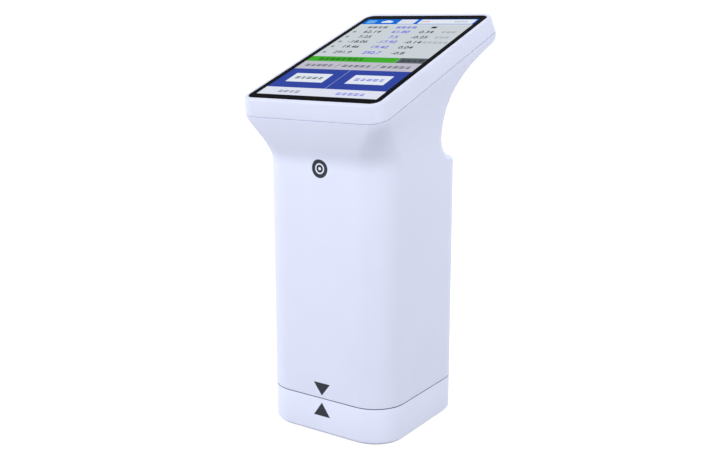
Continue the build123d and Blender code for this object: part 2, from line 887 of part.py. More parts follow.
battery_y = battery_front + battery_depth / 2
battery_top = battery_bottom + battery_height
lead_y = control_back + connector_height / 2
lead_level = max(battery_top, control_top) + lead_rise
wires(
    [
        (battery_y, battery_top),
        (battery_y, lead_level),
        (lead_y, lead_level),
        (lead_y, control_top),
    ],
    (battery_lead_x - lead_pitch / 2, battery_lead_x + lead_pitch / 2),
    lead_radius, lead_bend, "battery_lead",
)
wires(
    [(lead_y, platform_z + board_height), (lead_y, control_bottom)],
    (led_lead_x - lead_pitch / 2, led_lead_x + lead_pitch / 2),
    lead_radius, lead_bend, "led_lead",
)
sensor_board_top = aperture_face + (tube_end + board_height) / cos(sensor_lean)
sensor_lead_start = sensor_board_top - sensor_lead_x * tan(sensor_lean) + 3 * fit
wires(
    [(lead_y, sensor_lead_start), (lead_y, control_bottom)],
    (sensor_lead_x - lead_pitch / 2, sensor_lead_x + lead_pitch / 2),
    lead_radius, lead_bend, "sensor_lead",
)

# Measuring key: a finger key that follows the scoop, with a lip inside the wall and a stem
key_inner_y = neck_y - wall - key_clearance
key_stem_y = key_inner_y - key_flange
board_face_y = measuring_board_y + board_height
switch_top_y = board_face_y + switch_height
plunger_tip_y = switch_top_y - plunger_sunk
stem_end_y = switch_top_y + switch_gap
key_height = measuring_key_top - measuring_key_bottom
outer_back = back_guide(0)


# Depth of the outer back surface at a height above the scoop's foot
def back_surface(height):
    low, high = 0.0, 1.0
    while high - low > 1e-9:
        middle = (low + high) / 2
        if outer_back.position_at(middle).Z < height:
            low = middle
        else:
            high = middle
    return outer_back.position_at(low).Y


with BuildPart() as measuring_key:
    with BuildSketch(rear_facing(key_inner_y)):
        with Locations((0, key_middle_z)):
            RectangleRounded(measuring_key_width, key_height, key_corner)
    extrude(amount=half_depth - key_inner_y)
    with BuildSketch(Plane.YZ):
        with BuildLine():
            ThreePointArc(
                (back_surface(measuring_key_bottom) + measuring_key_proud, measuring_key_bottom),
                (back_surface(key_middle_z) + measuring_key_proud, key_middle_z),
                (back_surface(measuring_key_top) + measuring_key_proud, measuring_key_top),
            )
            Polyline(
                (back_surface(measuring_key_top) + measuring_key_proud, measuring_key_top),
                (half_depth + wall, measuring_key_top + wall),
                (half_depth + wall, measuring_key_bottom - wall),
                (back_surface(measuring_key_bottom) + measuring_key_proud, measuring_key_bottom),
            )
        make_face()
    extrude(amount=measuring_key_width, both=True, mode=Mode.SUBTRACT)
    chamfer(measuring_key.faces().sort_by(Axis.Y)[-1].edges(), key_edge)
    with BuildSketch(rear_facing(key_stem_y)):
        with Locations((0, key_middle_z)):
            RectangleRounded(
                measuring_key_width + 2 * key_flange_margin,
                key_height + 2 * key_flange_margin,
                key_corner,
            )
    extrude(amount=key_flange)
    with BuildSketch(rear_facing(stem_end_y)):
        with Locations((0, key_middle_z)):
            Circle(measuring_stem_radius)
    extrude(amount=key_stem_y - stem_end_y)
keep(measuring_key, "measuring_key")

with BuildPart() as measuring_plunger:
    with BuildSketch(rear_facing(plunger_tip_y)):
        with Locations((0, key_middle_z)):
            Circle(plunger_radius)
    extrude(amount=stem_end_y - plunger_tip_y)
keep(measuring_plunger, "measuring_plunger")

with BuildPart() as measuring_switch:
    with BuildSketch(rear_facing(board_face_y)):
        with Locations((0, key_middle_z)):
            Rectangle(switch_size, switch_size)
    extrude(amount=switch_height)
    with BuildSketch(rear_facing(switch_top_y)):
        with Locations((0, key_middle_z)):
            Circle(plunger_radius + plunger_clearance)
    extrude(amount=-(plunger_sunk + measuring_key_travel + fit), mode=Mode.SUBTRACT)
keep(measuring_switch, "measuring_switch")

with BuildPart() as measuring_board:
    with BuildSketch(rear_facing(measuring_board_y)):
        with Locations((0, key_middle_z)):
            Rectangle(measuring_board_width, measuring_board_height)
    extrude(amount=board_height)
keep(measuring_board, "measuring_board")

# Power key in the left wall, its switch and its board
power_face = left_wall.offset(-key_clearance)
power_reach = side_x - power_board_x - board_height - power_switch_height - power_switch_gap
power_stem_end = left_wall.offset(-power_reach)
with BuildPart() as power_key:
    with BuildSketch(power_face):
        with Locations((0, power_key_z)):
            RectangleRounded(power_key_width, power_key_length, key_corner)
    extrude(amount=key_clearance + wall + power_key_proud)
    chamfer(power_key.faces().sort_by(Axis.X)[0].edges(), key_edge / 2)
    with BuildSketch(power_face):
        with Locations((0, power_key_z)):
            RectangleRounded(
                power_key_width + 2 * key_flange_margin,
                power_key_length + 2 * key_flange_margin,
                key_corner,
            )
    extrude(amount=-power_flange)
    with BuildSketch(power_stem_end):
        with Locations((0, power_key_z)):
            Circle(power_stem_radius)
    extrude(amount=power_reach - key_clearance - power_flange)
keep(power_key, "power_key")

with BuildPart() as power_plunger:
    with BuildSketch(power_stem_end):
        with Locations((0, power_key_z)):
            Circle(power_plunger_radius)
    extrude(amount=-(power_switch_gap + power_plunger_sunk))
keep(power_plunger, "power_plunger")

power_board_face = left_wall.offset(power_board_x + board_height - side_x)
with BuildPart() as power_switch:
    with BuildSketch(power_board_face):
        with Locations((0, power_key_z)):
            Rectangle(switch_size, switch_size)
    extrude(amount=power_switch_height)
    with BuildSketch(power_board_face.offset(power_switch_height)):
        with Locations((0, power_key_z)):
            Circle(power_plunger_radius + plunger_clearance)
    extrude(amount=-(power_plunger_sunk + power_key_travel + fit), mode=Mode.SUBTRACT)
keep(power_switch, "power_switch")

with BuildPart() as power_board:
    with BuildSketch(power_board_face):
        with Locations((0, power_key_z)):
            Rectangle(power_board_width, power_board_length)
    extrude(amount=-board_height)
keep(power_board, "power_board")

# Charging socket on its small board, behind the slot in the rear wall
socket_mouth = half_depth - usb_recess
with BuildPart() as usb_socket:
    with BuildSketch(rear_facing(socket_mouth - usb_length)):
        with Locations((0, usb_z)):
            RectangleRounded(usb_width, usb_height, usb_corner)
    extrude(amount=usb_length)
    with BuildSketch(rear_facing(socket_mouth - usb_length + usb_back)):
        with Locations((0, usb_z)):
            RectangleRounded(
                usb_width - 2 * usb_skin, usb_height - 2 * usb_skin, usb_corner - usb_skin
            )
    extrude(amount=usb_length, mode=Mode.SUBTRACT)
keep(usb_socket, "usb_socket")

with BuildPart() as usb_tongue:
    with BuildSketch(rear_facing(socket_mouth - usb_length + usb_back)):
        with Locations((0, usb_z)):
            Rectangle(usb_tongue_width, usb_tongue_height)
    extrude(amount=usb_tongue_length)
keep(usb_tongue, "usb_tongue")

with BuildPart() as usb_board:
    with BuildSketch(Plane.XY.offset(bracket_top)):
        with Locations((0, back_y - fit)):
            Rectangle(usb_board_width, usb_board_depth - fit, align=(Align.CENTER, Align.MAX))
    extrude(amount=board_height)
keep(usb_board, "usb_board")

# Upper shell: the frame round the glass, with a tongue and hooks that go down into the housing
pocket_depth = glass_height + tape_height
ledge_under = pocket_depth + ledge_height
tray_width = screen_width + 2 * (panel_border + tray_border)
tray_length = screen_length + 2 * (panel_border + tray_border)
carrier_top = pocket_depth + tray_depth
carrier_bottom = carrier_top + carrier_height
tray_end = tray_length / 2 + glass_shift
ribbon_slot_v = tray_end + ribbon_slot_gap
ribbon_end_v = main_front - ribbon_end_gap
side_hooks = [
    (side * (hook_face - hook_thickness / 2), v) for side in (-1, 1) for x, v in hook_places
]
side_barbs = [(side * hook_face, v) for side in (-1, 1) for x, v in hook_places]
with BuildPart() as upper_shell:
    with BuildSketch(head_plane.offset(head_seam_gap / 2 - head_seam_depth)):
        add(head_outline(0))
    extrude(amount=head_seam_depth - head_seam_gap / 2, taper=shell_draft)
    fillet(upper_shell.faces().sort_by(Axis(glass_centre, head_up))[-1].edges(), rim_edge)
    with BuildSketch(head_plane.offset(-pocket_depth)):
        RectangleRounded(glass_width + 2 * fit, glass_length + 2 * fit, glass_corner + fit)
    extrude(amount=pocket_depth, mode=Mode.SUBTRACT)
    with BuildSketch(head_plane.offset(-head_seam_depth)):
        add(head_outline(upper_wall))
    extrude(amount=head_seam_depth - ledge_under, mode=Mode.SUBTRACT)
    with BuildSketch(head_plane.offset(-ledge_under)):
        with Locations((0, -glass_shift)):
            Rectangle(tray_width + 2 * fit, tray_length + 2 * fit)
    extrude(amount=ledge_under, mode=Mode.SUBTRACT)
    with BuildSketch(head_plane.offset(-head_seam_depth - tongue_height)):
        add(head_outline(tongue_inset))
        add(head_outline(upper_wall), mode=Mode.SUBTRACT)
    extrude(amount=tongue_height + head_seam_gap)
    with BuildSketch(head_plane.offset(-hook_end)):
        with Locations(*side_hooks):
            Rectangle(hook_thickness, hook_width)
    extrude(amount=hook_end - ledge_under)
    with BuildSketch(head_plane.offset(-hook_end)):
        with Locations(*side_barbs):
            Rectangle(2 * hook_barb, hook_width)
    extrude(amount=hook_barb_height)
keep(upper_shell, "upper_shell")

with BuildPart() as cover_glass:
    with BuildSketch(head_plane):
        RectangleRounded(glass_width, glass_length, glass_corner)
    extrude(amount=-glass_height)
    chamfer(cover_glass.faces().sort_by(Axis(glass_centre, head_up))[-1].edges(), glass_bevel)
keep(cover_glass, "cover_glass")

with BuildPart() as glass_tape:
    with BuildSketch(head_plane.offset(-pocket_depth)):
        RectangleRounded(glass_width - 2 * fit, glass_length - 2 * fit, glass_corner - fit)
        with Locations((0, -glass_shift)):
            Rectangle(tray_width + 4 * fit, tray_length + 4 * fit, mode=Mode.SUBTRACT)
    extrude(amount=tape_height)
keep(glass_tape, "glass_tape")

screen_plane = Plane(
    origin=glass_centre - slope * glass_shift - head_up * glass_height,
    x_dir=across,
    z_dir=head_up,
)
panel_width = screen_width + 2 * panel_border
panel_length = screen_length + 2 * panel_border
with BuildPart() as display_panel:
    with BuildSketch(screen_plane.offset(-tape_height)):
        Rectangle(panel_width - 2 * fit, panel_length - 2 * fit)
    extrude(amount=-panel_height)
keep(display_panel, "display_panel")

with BuildPart() as backlight_panel:
    with BuildSketch(screen_plane.offset(-tape_height - panel_height)):
        Rectangle(panel_width - 2 * fit, panel_length - 2 * fit)
    extrude(amount=-(tray_depth - panel_height - tray_border))
keep(backlight_panel, "backlight_panel")

with BuildPart() as display_tray:
    with BuildSketch(screen_plane.offset(-tape_height)):
        Rectangle(tray_width, tray_length)
    extrude(amount=-tray_depth)
    with BuildSketch(screen_plane.offset(-tape_height)):
        Rectangle(panel_width, panel_length)
    extrude(amount=-(tray_depth - tray_border), mode=Mode.SUBTRACT)
keep(display_tray, "display_tray")

main_post_places = [
    (x, v)
    for x in (-main_width / 2 + post_margin, main_width / 2 - post_margin)
    for v in (post_margin - main_front, main_back - post_margin)
]
with BuildPart() as display_carrier:
    with BuildSketch(head_plane.offset(-carrier_bottom)):
        add(head_outline(upper_wall + fit))
        with Locations(*side_hooks):
            Rectangle(2 * hook_thickness + 4 * fit, hook_width + 4 * fit, mode=Mode.SUBTRACT)
        with Locations((0, -head_length / 2)):
            Rectangle(
                display_ribbon_width + connector_border,
                2 * (head_length / 2 - ribbon_slot_v),
                mode=Mode.SUBTRACT,
            )
    extrude(amount=carrier_height)
    with BuildSketch(head_plane.offset(-carrier_bottom)):
        with Locations(*main_post_places):
            Rectangle(standoff, standoff)
    extrude(amount=-main_standoff)
keep(display_carrier, "display_carrier")


main_top = carrier_bottom + main_standoff
main_bottom = main_top + board_height
with BuildPart() as main_board:
    with BuildSketch(head_plane.offset(-main_bottom)):
        with Locations((0, (main_back - main_front) / 2)):
            Rectangle(main_width, main_front + main_back)
    extrude(amount=board_height)
keep(main_board, "main_board")

with BuildPart() as main_chips:
    with BuildSketch(head_plane.offset(-main_bottom)):
        with Locations((-processor_x, -processor_v)):
            Rectangle(processor_size, processor_size)
        with Locations((processor_x, -memory_v)):
            Rectangle(memory_size, memory_size)
    extrude(amount=-chip_height)
    with BuildSketch(head_plane.offset(-main_bottom)):
        with Locations((0, connector_v)):
            Rectangle(board_ribbon_width + 2 * connector_border, 2 * connector_height)
    extrude(amount=-connector_height)
    with BuildSketch(head_plane.offset(-main_top)):
        with Locations((0, -ribbon_end_v)):
            Rectangle(display_ribbon_width + 2 * connector_border, 2 * connector_height)
    extrude(amount=connector_height / 2)
keep(main_chips, "main_chips")

with BuildPart() as processor_shield:
    with BuildSketch(head_plane.offset(-main_bottom)):
        with Locations((0, shield_v)):
            Rectangle(shield_width, shield_length)
    extrude(amount=-shield_height)
    with BuildSketch(head_plane.offset(-main_bottom)):
        with Locations((0, shield_v)):
            Rectangle(shield_width - 2 * shield_skin, shield_length - 2 * shield_skin)
    extrude(amount=shield_skin - shield_height, mode=Mode.SUBTRACT)
keep(processor_shield, "processor_shield")

with BuildPart() as radio_module:
    with BuildSketch(head_plane.offset(-main_bottom)):
        with Locations((-radio_x, -radio_v)):
            Rectangle(radio_width, radio_length)
    extrude(amount=-radio_height / 2)
    with BuildSketch(head_plane.offset(-main_bottom - radio_height / 2)):
        with Locations((-radio_x, -radio_v + radio_length / 2)):
            Rectangle(radio_width - radio_height, radio_can_length, align=(Align.CENTER, Align.MAX))
    extrude(amount=-radio_height / 2)
keep(radio_module, "radio_module")

head_side = Plane(origin=glass_centre, x_dir=slope, z_dir=across)
ribbon_level = ledge_under + 3 * fit
ribbon_v = (ribbon_slot_v + head_length / 2 - upper_wall) / 2
board_level = main_top - connector_height / 2 - ribbon_thickness / 2
ribbon(
    head_side,
    [
        (-tray_end, -ribbon_level),
        (-ribbon_v, -ribbon_level),
        (-ribbon_v, -board_level),
        (-ribbon_end_v, -board_level),
    ],
    display_ribbon_width, 3 * ribbon_thickness, "display_ribbon",
)
ribbon_depth = main_bottom + connector_height / 2
ribbon_start_v = connector_v - connector_height
ribbon_turn_v = shield_v + shield_length / 2 + ribbon_turn_gap
ribbon_start = head_plane.from_local_coords((0, ribbon_start_v, -ribbon_depth))
ribbon_turn = head_plane.from_local_coords((0, ribbon_turn_v, -ribbon_depth))
ribbon(
    Plane.YZ,
    [
        (ribbon_start.Y, ribbon_start.Z),
        (ribbon_turn.Y, ribbon_turn.Z),
        (lead_y, ribbon_turn.Z + lead_y - ribbon_turn.Y),
        (lead_y, control_top),
    ],
    board_ribbon_width, lead_bend, "board_ribbon",
)
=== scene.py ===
import json
import math

import bmesh
import bpy
from mathutils import Matrix, Vector


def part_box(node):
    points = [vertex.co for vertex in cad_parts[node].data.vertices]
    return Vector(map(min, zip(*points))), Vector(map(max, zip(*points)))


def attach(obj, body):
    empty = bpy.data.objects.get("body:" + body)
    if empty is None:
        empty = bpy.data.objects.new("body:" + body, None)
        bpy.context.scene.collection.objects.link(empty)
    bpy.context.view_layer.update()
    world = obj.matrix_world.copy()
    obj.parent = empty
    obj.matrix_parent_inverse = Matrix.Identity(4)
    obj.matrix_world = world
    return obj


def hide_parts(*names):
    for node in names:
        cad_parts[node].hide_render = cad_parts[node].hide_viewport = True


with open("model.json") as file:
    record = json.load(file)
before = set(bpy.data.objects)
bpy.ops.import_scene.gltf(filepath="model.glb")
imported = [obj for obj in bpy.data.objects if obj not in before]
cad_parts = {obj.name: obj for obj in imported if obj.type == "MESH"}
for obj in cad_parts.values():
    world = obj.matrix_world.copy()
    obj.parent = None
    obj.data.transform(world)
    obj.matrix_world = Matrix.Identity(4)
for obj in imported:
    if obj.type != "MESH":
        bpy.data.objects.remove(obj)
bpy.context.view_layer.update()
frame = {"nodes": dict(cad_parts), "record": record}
cad = frame["nodes"]
MM = 0.001


# Camera: azimuth, elevation, distance and lens of the photograph
AZIMUTH, ELEVATION = math.radians(33.948), math.radians(11.986)
DISTANCE, LENS, SENSOR = 0.343461, 47.09, 36
TARGET_SIDE, TARGET_HEIGHT = -0.00039, 0.071251
TARGET = Vector((TARGET_SIDE * math.cos(AZIMUTH), TARGET_SIDE * math.sin(AZIMUTH), TARGET_HEIGHT))
BACK = Vector((
    math.sin(AZIMUTH) * math.cos(ELEVATION),
    -math.cos(AZIMUTH) * math.cos(ELEVATION),
    math.sin(ELEVATION),
))


def make_camera():
    data = bpy.data.cameras.new("camera")
    data.lens, data.sensor_width = LENS, SENSOR
    data.clip_start, data.clip_end = 0.01, 20
    camera = bpy.data.objects.new("camera", data)
    bpy.context.scene.collection.objects.link(camera)
    camera.location = TARGET + BACK * DISTANCE
    camera.rotation_mode = "QUATERNION"
    camera.rotation_quaternion = (-BACK).to_track_quat("-Z", "Y")
    bpy.context.scene.camera = camera


# Node maths written as Python expressions, for materials and geometry alike
class Socket:
    def __init__(self, tree, socket):
        self.tree, self.socket = tree, socket

    def node(self, kind, inputs=(), out=0, **settings):
        made = self.tree.nodes.new(kind)
        for key, value in settings.items():
            setattr(made, key, value)
        for key, value in dict(inputs).items():
            if isinstance(value, Socket):
                self.tree.links.new(value.socket, made.inputs[key])
            else:
                made.inputs[key].default_value = value
        return Socket(self.tree, made.outputs[out])

    def math(self, operation, *others):
        values = dict(enumerate([self, *others]))
        return self.node("ShaderNodeMath", values, operation=operation)

    def __add__(self, other):
        return self.math("ADD", other)

    def __sub__(self, other):
        return self.math("SUBTRACT", other)

    def __rsub__(self, other):
        return self.node("ShaderNodeMath", {0: other, 1: self}, operation="SUBTRACT")

    def __mul__(self, other):
        return self.math("MULTIPLY", other)

    __radd__, __rmul__ = __add__, __mul__

    # 0 below the edge and 1 above it, softened over the width
    def above(self, edge, width):
        return self.node(
            "ShaderNodeMapRange",
            {0: self, 1: edge - width, 2: edge + width, 3: 0.0, 4: 1.0},
            interpolation_type="SMOOTHSTEP",
        )

    # 1 within the reach of a middle value, 0 beyond it
    def near(self, middle, reach, width):
        return 1 - (self - middle).math("ABSOLUTE").above(reach, width)

    # The low colour where this value is 0, and the high colour where it is 1
    def mix(self, low, high):
        colours = {0: self, 6: low, 7: high}
        return self.node("ShaderNodeMix", colours, out=2, data_type="RGBA")

    def axes(self):
        parts = self.node("ShaderNodeSeparateXYZ", {0: self})
        return [Socket(self.tree, axis) for axis in parts.socket.node.outputs]


# A colour as the eye reads it, 0 to 255, turned into the renderer's linear values
def linear(*rgb):
    shares = [value / 255 for value in rgb]
    return (*[s / 12.92 if s < 0.04 else ((s + 0.055) / 1.055) ** 2.4 for s in shares], 1.0)


def shaded(colour, share):
    return (*[min(1.0, value * share) for value in colour[:3]], 1.0)


# A material with its Principled node, and the socket of Object coordinates that makes further nodes
def new_material(name, **constants):
    material = bpy.data.materials.new(name)
    material.use_nodes = True
    tree = material.node_tree
    principled = tree.nodes["Principled BSDF"]
    for key, value in constants.items():
        principled.inputs[key.replace("_", " ")].default_value = value
    start = Socket(tree, principled.outputs[0])
    place = start.node("ShaderNodeTexCoord", out=3)
    return material, principled, place


def noise(place, scale, detail=2.0):
    return place.node("ShaderNodeTexNoise", {"Vector": place, "Scale": scale, "Detail": detail})


def plug(value, principled, name):
    value.tree.links.new(value.socket, principled.inputs[name])


def rough_up(height, principled, strength, depth=0.05):
    bump = {"Height": height, "Strength": strength, "Distance": depth * MM}
    plug(height.node("ShaderNodeBump", bump), principled, "Normal")


# Moulded plastic: fine spark texture, soft mottling and a little unevenness in the gloss
PLASTIC_GLOSS = 0.12


def moulded(name, colour, rough, grain=9000.0, strength=0.06, mottle=0.03, marks=None):
    material, principled, place = new_material(name, Specular_IOR_Level=PLASTIC_GLOSS)
    cloud, spark = noise(place, 60.0, 3.0), noise(place, grain)
    shade = cloud.mix(shaded(colour, 1 - mottle), shaded(colour, 1 + mottle))
    if marks:
        shade = marks(place, spark, shade)
    plug(shade, principled, "Base Color")
    plug((cloud - 0.5) * 0.12 + (spark - 0.5) * 0.08 + rough, principled, "Roughness")
    rough_up(spark, principled, strength)
    return material


WHITE = linear(225, 230, 253)


# Marks printed on the front, in mm: a round badge with a plain ring, and two triangles that meet at
# the seam, each given by the heights of its base and tip. The seam over the cap gets painted shade, a
# dark band where the gap between the parts lies in shadow.
BADGE_Z, BADGE_RADIUS = 95.15, 3.2
BADGE_RING, BADGE_DOT = (1.35, 1.85), 0.55
ARROW_HALF = 3.5
ARROWS = ((19.32, 14.68), (7.0, 12.05))
PRINT_EDGE = 0.03
FRONT_Y, FRONT_EDGE = -26.0, 0.01
PRINT_INK, PRINT_INK_PALE = linear(38, 40, 48), linear(58, 60, 68)
SEAM_Z = (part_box("calibration_cap")[1][2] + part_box("main_housing")[0][2]) / 2 / MM
SEAM_REACH, SEAM_EDGE, SEAM_PAINTED_SHADE = 0.17, 0.02, linear(112, 118, 140)


def body_print_and_seam_shade(place, spark, shade):
    x, y, z = [axis * (1 / MM) for axis in place.axes()]
    rise = z - BADGE_Z
    radius = (x * x + rise * rise).math("SQRT")
    marks = 1 - radius.above(BADGE_RADIUS, PRINT_EDGE)
    ring_in, ring_out = BADGE_RING
    marks = marks * (1 - radius.near((ring_in + ring_out) / 2, (ring_out - ring_in) / 2, PRINT_EDGE))
    marks = marks * radius.above(BADGE_DOT, PRINT_EDGE)
    side = x.math("ABSOLUTE")
    for base, tip in ARROWS:
        share = (z - tip) * (1 / (base - tip))
        inside = (share * ARROW_HALF - side).above(0.0, PRINT_EDGE)
        marks = marks + inside * (1 - share.above(1.0, PRINT_EDGE / abs(base - tip)))
    front = 1 - y.above(FRONT_Y, FRONT_EDGE)
    printed = (marks * front).mix(shade, spark.mix(PRINT_INK, PRINT_INK_PALE))
    # Painted shade: a dark band along the seam over the cap, where the gap between the parts lies in
    # shadow
    painted_seam_shade = z.near(SEAM_Z, SEAM_REACH, SEAM_EDGE)
    return painted_seam_shade.mix(printed, SEAM_PAINTED_SHADE)


body_white = moulded("body_white", WHITE, 0.48, marks=body_print_and_seam_shade)
key_grey = moulded("key_grey", linear(176, 180, 196), 0.5, mottle=0.04, strength=0.12)
pad_rubber = moulded("pad_rubber", linear(42, 42, 46), 0.75, grain=4000.0, strength=0.2)
foam_dark = moulded("foam_dark", linear(58, 58, 62), 0.95, grain=2200.0, strength=0.6, mottle=0.15)
inner_black = moulded("inner_black", linear(38, 38, 42), 0.55)
tray_grey = moulded("tray_grey", linear(92, 94, 98), 0.6)
tape_black = moulded("tape_black", linear(26, 26, 28), 0.7, grain=1500.0, strength=0.1)


# Sheet metal, drawn along one direction
def drawn_metal(name, colour, rough, run):
    material, principled, place = new_material(name, Metallic=1.0)
    lines = noise(place.node("ShaderNodeMapping", {"Vector": place, "Scale": run}), 900.0, 4.0)
    stain = noise(place, 90.0)
    plug(lines.mix(shaded(colour, 0.86), colour), principled, "Base Color")
    plug(lines * 0.16 + stain * 0.1 + (rough - 0.13), principled, "Roughness")
    rough_up(lines, principled, 0.15, 0.01)
    return material


steel = drawn_metal("steel", linear(178, 180, 184), 0.32, (1.0, 12.0, 12.0))
nickel = drawn_metal("nickel", linear(196, 192, 184), 0.22, (6.0, 6.0, 1.0))
contact_gold = drawn_metal("contact_gold", linear(226, 184, 104), 0.25, (12.0, 1.0, 1.0))


# Circuit board: solder mask, tracks round the pads and tinned holes
def circuit_board():
    material, principled, place = new_material("circuit_board", Coat_Weight=0.3)
    mask = linear(16, 96, 58)
    nests = place.node(
        "ShaderNodeTexVoronoi", {"Vector": place, "Scale": 150.0}, distance="CHEBYCHEV"
    )
    tracks = (nests * 7.0).math("FRACT").near(0.5, 0.16, 0.05)
    holes = place.node("ShaderNodeTexVoronoi", {"Vector": place, "Scale": 330.0})
    tinned = 1 - holes.above(0.16, 0.03)
    shade = tracks.mix(mask, shaded(mask, 1.7))
    plug(tinned.mix(shade, linear(196, 190, 172)), principled, "Base Color")
    plug(tinned * -0.15 + tracks * 0.05 + 0.4, principled, "Roughness")
    rough_up(tracks + tinned, principled, 0.2)
    return material


# Chip package: matt resin with a fine grain and a few paler patches
def chip_resin():
    material, principled, place = new_material("chip_resin")
    grain, patch = noise(place, 5000.0, 3.0), noise(place, 260.0)
    shade = grain.mix(linear(30, 30, 32), linear(48, 48, 50))
    plug(patch.above(0.6, 0.04).mix(shade, linear(70, 70, 72)), principled, "Base Color")
    plug(grain * 0.2 + 0.45, principled, "Roughness")
    rough_up(grain, principled, 0.15)
    return material


# Matt white: the pressed powder coat inside the sphere, and the diffusing film behind the display
def powder_white(name, colour, rough):
    material, principled, place = new_material(name)
    powder = noise(place, 3200.0, 5.0)
    plug(powder.mix(shaded(colour, 0.96), colour), principled, "Base Color")
    plug(powder * 0.1 + (rough - 0.05), principled, "Roughness")
    rough_up(powder, principled, 0.12)
    return material


# Battery foil: soft creases in a dull metal wrap
def battery_foil():
    material, principled, place = new_material("battery_foil", Metallic=0.35)
    creases = place.node("ShaderNodeTexVoronoi", {"Vector": place, "Scale": 110.0}, feature="SMOOTH_F1")
    grain = noise(place, 1800.0)
    plug(grain.mix(linear(150, 154, 160), linear(182, 186, 192)), principled, "Base Color")
    plug(creases * 0.2 + 0.28, principled, "Roughness")
    rough_up(creases, principled, 0.3, 0.4)
    return material


# Flexible ribbon: amber film over copper conductors that run along it
def ribbon_film():
    material, principled, place = new_material("ribbon_film", Coat_Weight=0.4)
    conductor_pitch = 0.5 * MM
    x = place.axes()[0] * (1 / conductor_pitch)
    copper = x.math("FRACT").near(0.5, 0.24, 0.05)
    film = noise(place, 700.0, 3.0)
    amber = film.mix(linear(150, 82, 24), linear(186, 108, 36))
    plug(copper.mix(amber, linear(214, 146, 70)), principled, "Base Color")
    plug(film * 0.15 + copper * 0.05 + 0.28, principled, "Roughness")
    rough_up(copper, principled, 0.3, 0.02)
    return material


# Wire covering: red sleeve with fine draw marks
def wire_sleeve():
    material, principled, place = new_material("wire_sleeve")
    marks = noise(place, 1200.0, 4.0)
    plug(marks.mix(linear(160, 28, 24), linear(204, 46, 38)), principled, "Base Color")
    plug(marks * 0.2 + 0.4, principled, "Roughness")
    rough_up(marks, principled, 0.1)
    return material


# Lamp body: phosphor under a clear cast dome
def lamp_phosphor():
    material, principled, place = new_material("lamp_phosphor", Coat_Weight=0.8)
    grains = place.node("ShaderNodeTexVoronoi", {"Vector": place, "Scale": 4200.0})
    plug(grains.mix(linear(244, 222, 120), linear(222, 186, 66)), principled, "Base Color")
    plug(grains * 0.2 + 0.2, principled, "Roughness")
    return material


# Reference tile: glazed white ceramic with a few faint specks
def tile_glaze():
    material, principled, place = new_material("tile_glaze", Coat_Weight=0.6)
    specks = place.node("ShaderNodeTexVoronoi", {"Vector": place, "Scale": 520.0})
    body = noise(place, 200.0, 3.0).mix(linear(238, 238, 234), linear(246, 246, 242))
    plug(specks.above(0.07, 0.02).mix(linear(214, 212, 204), body), principled, "Base Color")
    plug(noise(place, 60.0) * 0.06 + 0.08, principled, "Roughness")
    return material


# Lens: clear ground glass with a faint blue coating
def lens_glass():
    material, principled, place = new_material("lens_glass", Alpha=0.35)
    bloom = noise(place, 300.0)
    plug(bloom.mix(linear(206, 222, 240), linear(226, 236, 240)), principled, "Base Color")
    plug(bloom * 0.04 + 0.01, principled, "Roughness")
    return material


board_green, chip_black = circuit_board(), chip_resin()
sphere_powder = powder_white("sphere_powder", linear(242, 242, 238), 0.9)
backlight_film = powder_white("backlight_film", linear(232, 234, 238), 0.6)

# The solids take their materials by slot; the cover glass has its own, further down
BY_SLOT = {
    "shell_white": body_white,
    "key_grey": key_grey,
    "rubber_dark": pad_rubber,
    "foam_dark": foam_dark,
    "tile_white": tile_glaze(),
    "inner_black": inner_black,
    "nickel": nickel,
    "sphere_white": sphere_powder,
    "black_metal": inner_black,
    "clear_glass": lens_glass(),
    "board_green": board_green,
    "chip_black": chip_black,
    "led_yellow": lamp_phosphor(),
    "battery_wrap": battery_foil(),
    "tray_grey": tray_grey,
    "plunger_grey": tray_grey,
    "steel": steel,
    "tape_black": tape_black,
    "panel_black": chip_black,
    "backlight_white": backlight_film,
    "wire_red": wire_sleeve(),
    "ribbon_orange": ribbon_film(),
}
for part in frame["record"]["subparts"]:
    material = BY_SLOT.get(part["material_slot"])
    if material:
        mesh = cad[part["node"]].data
        mesh.materials.clear()
        mesh.materials.append(material)

# Head frame: u across, v up the slope, h out of the glass, from the middle of the glass
TILT = math.radians(19.83)
GLASS_Y, GLASS_Z = 5.14 * MM, 131.88 * MM
HEAD = Matrix((
    (1, 0, 0, 0),
    (0, math.cos(TILT), -math.sin(TILT), GLASS_Y),
    (0, math.sin(TILT), math.cos(TILT), GLASS_Z),
    (0, 0, 0, 1),
))
HEAD_BACK = HEAD.inverted()


def link(name, mesh, body, slot, *materials):
    piece = bpy.data.objects.new(name, mesh)
    bpy.context.scene.collection.objects.link(piece)
    for material in materials:
        mesh.materials.append(material)
    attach(piece, body)
    return piece


# A copy of a solid's mesh, and the same with its loose triangles merged, to be worked on
MERGE = 0.5e-6


def merged_copy(node, name):
    data = cad[node].data.copy()
    data.name = name
    mesh = bmesh.new()
    mesh.from_mesh(data)
    bmesh.ops.remove_doubles(mesh, verts=mesh.verts, dist=MERGE)
    return data, mesh


# Rounded-off edges: a merged copy of a solid, bevelled and shaded smooth, takes the solid's place
FLAT, CREASE = math.radians(0.4), math.radians(28)


def finish(node, body, slot, width, material):
    data, mesh = merged_copy(node, node + "_finish")
    bmesh.ops.dissolve_degenerate(mesh, edges=mesh.edges, dist=MERGE)
    bmesh.ops.dissolve_limit(mesh, angle_limit=FLAT, verts=mesh.verts, edges=mesh.edges)
    mesh.to_mesh(data)
    mesh.free()
    data.materials.clear()
    piece = link(data.name, data, body, slot, material)
    bevel = piece.modifiers.new("edges", "BEVEL")
    bevel.width, bevel.segments = width * MM, 3
    bevel.limit_method, bevel.angle_limit = "ANGLE", CREASE
    graph = bpy.context.evaluated_depsgraph_get()
    rounded = bpy.data.meshes.new_from_object(piece.evaluated_get(graph))
    piece.modifiers.clear()
    piece.data = rounded
    rounded.name = data.name
    rounded.shade_smooth()
    rounded.set_sharp_from_angle(angle=CREASE)
    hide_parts(node)


